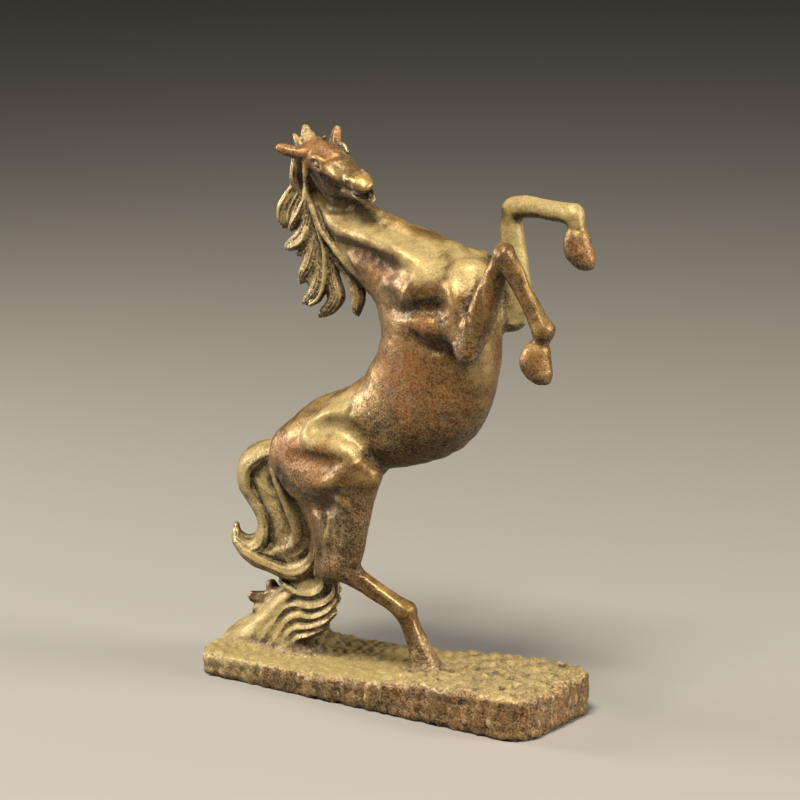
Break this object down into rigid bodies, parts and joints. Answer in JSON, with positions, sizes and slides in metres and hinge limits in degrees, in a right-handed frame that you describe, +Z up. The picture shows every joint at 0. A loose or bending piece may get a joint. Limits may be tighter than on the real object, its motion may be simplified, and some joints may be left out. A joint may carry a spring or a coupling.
{
  "type": "rearing horse statue",
  "caption": "Small cast brass statue of a horse rearing on a hind leg, its flowing tail joined to a rough oblong plinth.",
  "frame": {"origin": "middle of the plinth's flat underside", "axes": "+Z up, +X along the plinth towards the side the horse faces, +Y to the horse's left"},
  "size_m": [0.081, 0.0254, 0.1046],
  "materials": {
    "patinated_brass": "cast and rubbed, worn bright on the high places, brown and olive patina in the hollows"
  },
  "bodies": {
    "root": {"rearing_horse_statue": "patinated_brass"}
  },
  "joints": []
}
